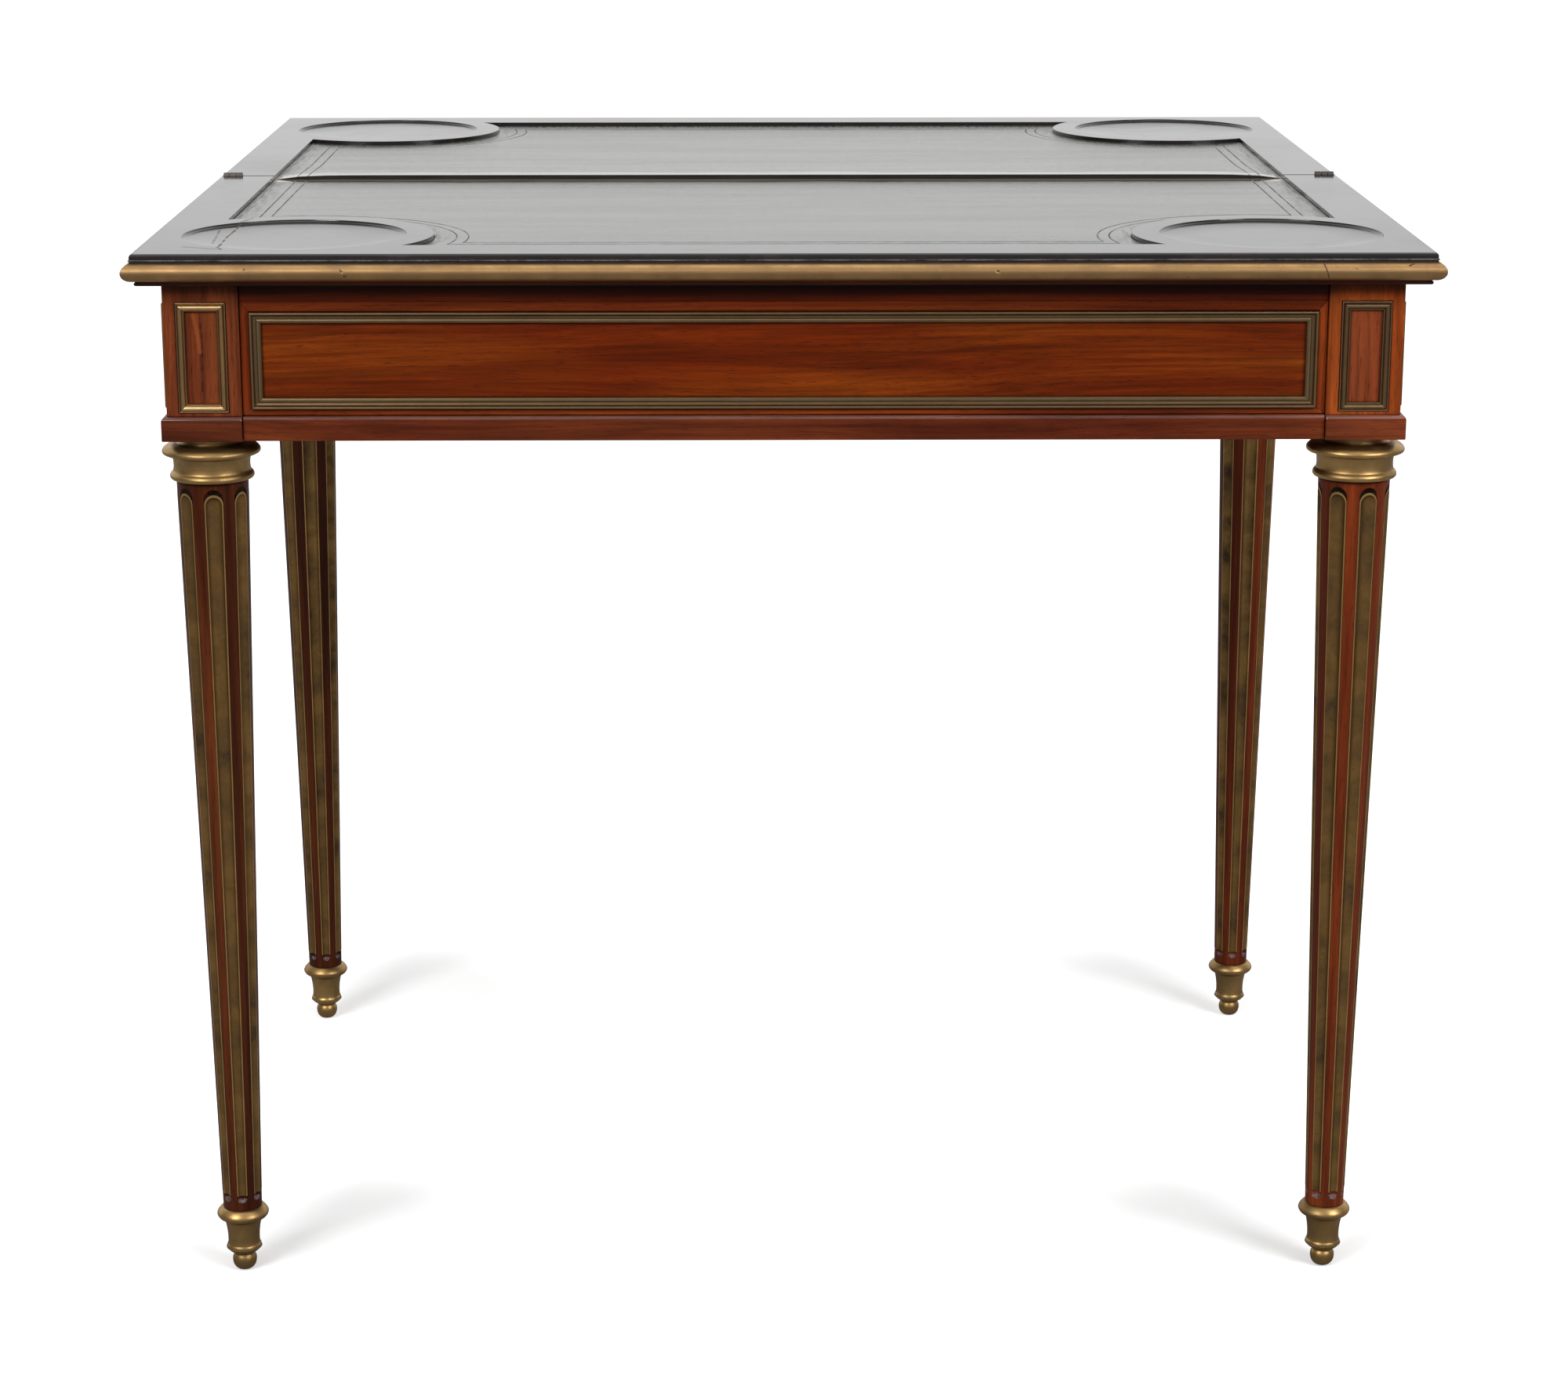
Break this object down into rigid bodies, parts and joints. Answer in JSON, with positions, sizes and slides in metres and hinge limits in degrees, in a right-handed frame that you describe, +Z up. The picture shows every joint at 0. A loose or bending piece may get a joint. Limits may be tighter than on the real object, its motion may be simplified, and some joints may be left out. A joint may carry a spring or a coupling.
{
  "type": "games table",
  "caption": "Square fold-over games table in brass-mounted mahogany with leather playing fields, dished corner wells and tapering fluted legs, shown open",
  "frame": {"origin": "on the floor, under the middle of the joint between the two leaves", "axes": "+X to the table's right as seen from the front, +Y to the back where the leaf folds out, +Z up"},
  "size_m": [0.89, 0.89, 0.7546],
  "materials": {
    "mahogany": "French-polished dark red-brown mahogany",
    "inner_wood": "plain unpolished oak of the inner frame",
    "lacquer": "near-black ebonised wood, high gloss with fine wear",
    "leather": "worn dark grey-green leather, waxed, with tooled lines",
    "brass": "aged polished brass, darker in the hollows",
    "steel": "dull steel of pins and screws"
  },
  "bodies": {
    "table_frame": {"front_leaf_board": "mahogany", "front_rail": "mahogany", "left_side_rail": "mahogany", "right_side_rail": "mahogany", "front_plinth": "mahogany", "left_side_plinth": "mahogany", "right_side_plinth": "mahogany", "corner_block_front_left": "mahogany", "corner_block_front_right": "mahogany", "leg_front_left": "mahogany", "leg_front_right": "mahogany", "front_leaf_border": "lacquer", "front_leather": "leather", "front_nosing": "brass", "front_panel_frame": "brass", "left_panel_frame": "brass", "right_panel_frame": "brass", "capital_front_left": "brass", "capital_front_right": "brass", "sabot_front_left": "brass", "sabot_front_right": "brass", "block_frame_front_left_front": "brass", "block_frame_front_left_side": "brass", "block_frame_front_right_front": "brass", "block_frame_front_right_side": "brass", "hinge_plate_front_left": "brass", "hinge_plate_front_right": "brass", "hinge_pin_left": "steel", "hinge_pin_right": "steel", "top_screw_front_left": "steel", "top_screw_front_right": "steel", "top_screw_rear_left": "steel", "top_screw_rear_right": "steel", "left_guide": "inner_wood", "right_guide": "inner_wood", "cross_rail": "inner_wood"},
    "rear_leaf": {"rear_leaf_board": "mahogany", "rear_leaf_border": "lacquer", "rear_leather": "leather", "rear_nosing": "brass", "hinge_plate_rear_left": "brass", "hinge_plate_rear_right": "brass"},
    "rear_frame": {"rear_rail": "mahogany", "rear_plinth": "mahogany", "rear_panel_frame": "brass", "corner_block_rear_left": "mahogany", "corner_block_rear_right": "mahogany", "block_frame_rear_left_back": "brass", "block_frame_rear_left_side": "brass", "block_frame_rear_right_back": "brass", "block_frame_rear_right_side": "brass", "leg_rear_left": "mahogany", "leg_rear_right": "mahogany", "capital_rear_left": "brass", "capital_rear_right": "brass", "sabot_rear_left": "brass", "sabot_rear_right": "brass", "left_bearer": "inner_wood", "right_bearer": "inner_wood", "slide_stretcher": "inner_wood"}
  },
  "joints": [
    {"name": "leaf_hinge", "type": "hinge", "parent": "table_frame", "child": "rear_leaf", "pos_m": [0, 0, 0.7522], "axis": [1, 0, 0], "range_deg": [0, 180]},
    {"name": "rear_frame_slide", "type": "slide", "parent": "table_frame", "child": "rear_frame", "axis": [0, -1, 0], "range_m": [0, 0.189]}
  ]
}
